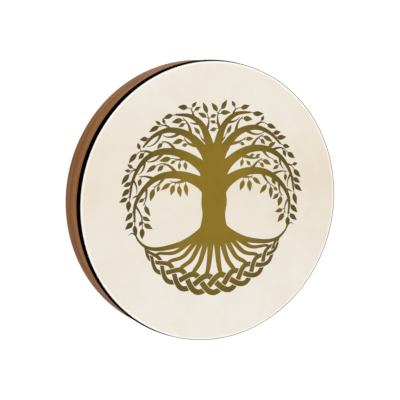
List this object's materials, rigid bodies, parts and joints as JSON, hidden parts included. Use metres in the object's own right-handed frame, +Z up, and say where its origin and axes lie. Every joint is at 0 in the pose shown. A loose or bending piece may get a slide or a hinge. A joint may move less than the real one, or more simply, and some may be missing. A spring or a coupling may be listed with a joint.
{
  "type": "bodhran",
  "caption": "Shallow round frame drum: bent wooden hoop, printed film head under a flat black band, crossbar in the open back, and an inner tuning ring pushed up by socket screws.",
  "frame": {"origin": "on the drum's axis, midway between the face of the head and the back rim, which is also the centre of its bounding box", "axes": "+Y along the drum's axis, out of the open back, so that the head faces -Y; +Z up, along the crossbar; +X to the right as the head is seen from the front"},
  "size_m": [0.4581, 0.07, 0.458],
  "materials": {
    "hoop_veneer": "satin brown stain with fine grain round the hoop",
    "hoop_core": "bare edge, lightly oiled",
    "hoop_lining": "satin brown stain",
    "head_film": "matte cream, softly clouded like skin",
    "edge_band": "black, flat woven tape",
    "crossbar_wood": "satin brown stain, worn at the grip",
    "ring_wood": "pale laminated wood, sanded",
    "bracket_steel": "black satin coat",
    "bush_brass": "turned",
    "pad_steel": "turned",
    "tuning_screw_steel": "zinc plated",
    "wood_screw_steel": "zinc plated",
    "wood_screw_brass": "dulled"
  },
  "bodies": {
    "drum": {"hoop_outer_ply": "hoop_veneer", "hoop_core_ply": "hoop_core", "hoop_inner_ply": "hoop_lining", "drumhead": "head_film", "edge_band": "edge_band", "crossbar": "crossbar_wood", "crossbar_screws": "wood_screw_brass", "bracket_screws": "wood_screw_steel", "tuning_bracket_1": "bracket_steel", "tuning_bracket_2": "bracket_steel", "tuning_bracket_3": "bracket_steel", "tuning_bracket_4": "bracket_steel", "tuning_bracket_5": "bracket_steel", "tuning_bracket_6": "bracket_steel", "tuning_bracket_7": "bracket_steel", "tuning_bracket_8": "bracket_steel", "threaded_bush_1": "bush_brass", "threaded_bush_2": "bush_brass", "threaded_bush_3": "bush_brass", "threaded_bush_4": "bush_brass", "threaded_bush_5": "bush_brass", "threaded_bush_6": "bush_brass", "threaded_bush_7": "bush_brass", "threaded_bush_8": "bush_brass"},
    "ring": {"tuning_ring": "ring_wood", "ring_pad_1": "pad_steel", "ring_pad_2": "pad_steel", "ring_pad_3": "pad_steel", "ring_pad_4": "pad_steel", "ring_pad_5": "pad_steel", "ring_pad_6": "pad_steel", "ring_pad_7": "pad_steel", "ring_pad_8": "pad_steel"},
    "screw_1": {"tuning_screw_1": "tuning_screw_steel"},
    "screw_2": {"tuning_screw_2": "tuning_screw_steel"},
    "screw_3": {"tuning_screw_3": "tuning_screw_steel"},
    "screw_4": {"tuning_screw_4": "tuning_screw_steel"},
    "screw_5": {"tuning_screw_5": "tuning_screw_steel"},
    "screw_6": {"tuning_screw_6": "tuning_screw_steel"},
    "screw_7": {"tuning_screw_7": "tuning_screw_steel"},
    "screw_8": {"tuning_screw_8": "tuning_screw_steel"}
  },
  "joints": [
    {"name": "ring_slide", "type": "slide", "parent": "drum", "child": "ring", "axis": [0, -1, 0], "range_m": [-0.004, 0]},
    {"name": "screw_1_turn", "type": "hinge", "parent": "ring", "child": "screw_1", "pos_m": [0.19771, 0, 0.08189], "axis": [0, -1, 0], "range_deg": [-1440, 0]},
    {"name": "screw_2_turn", "type": "hinge", "parent": "ring", "child": "screw_2", "pos_m": [0.08189, 0, 0.19771], "axis": [0, -1, 0], "range_deg": [-1440, 0]},
    {"name": "screw_3_turn", "type": "hinge", "parent": "ring", "child": "screw_3", "pos_m": [-0.08189, 0, 0.19771], "axis": [0, -1, 0], "range_deg": [-1440, 0]},
    {"name": "screw_4_turn", "type": "hinge", "parent": "ring", "child": "screw_4", "pos_m": [-0.19771, 0, 0.08189], "axis": [0, -1, 0], "range_deg": [-1440, 0]},
    {"name": "screw_5_turn", "type": "hinge", "parent": "ring", "child": "screw_5", "pos_m": [-0.19771, 0, -0.08189], "axis": [0, -1, 0], "range_deg": [-1440, 0]},
    {"name": "screw_6_turn", "type": "hinge", "parent": "ring", "child": "screw_6", "pos_m": [-0.08189, 0, -0.19771], "axis": [0, -1, 0], "range_deg": [-1440, 0]},
    {"name": "screw_7_turn", "type": "hinge", "parent": "ring", "child": "screw_7", "pos_m": [0.08189, 0, -0.19771], "axis": [0, -1, 0], "range_deg": [-1440, 0]},
    {"name": "screw_8_turn", "type": "hinge", "parent": "ring", "child": "screw_8", "pos_m": [0.19771, 0, -0.08189], "axis": [0, -1, 0], "range_deg": [-1440, 0]}
  ],
  "couplings": [
    {"joint": "screw_1_turn", "follows": "ring_slide", "rad_per_m": 6283},
    {"joint": "screw_2_turn", "follows": "ring_slide", "rad_per_m": 6283},
    {"joint": "screw_3_turn", "follows": "ring_slide", "rad_per_m": 6283},
    {"joint": "screw_4_turn", "follows": "ring_slide", "rad_per_m": 6283},
    {"joint": "screw_5_turn", "follows": "ring_slide", "rad_per_m": 6283},
    {"joint": "screw_6_turn", "follows": "ring_slide", "rad_per_m": 6283},
    {"joint": "screw_7_turn", "follows": "ring_slide", "rad_per_m": 6283},
    {"joint": "screw_8_turn", "follows": "ring_slide", "rad_per_m": 6283}
  ]
}
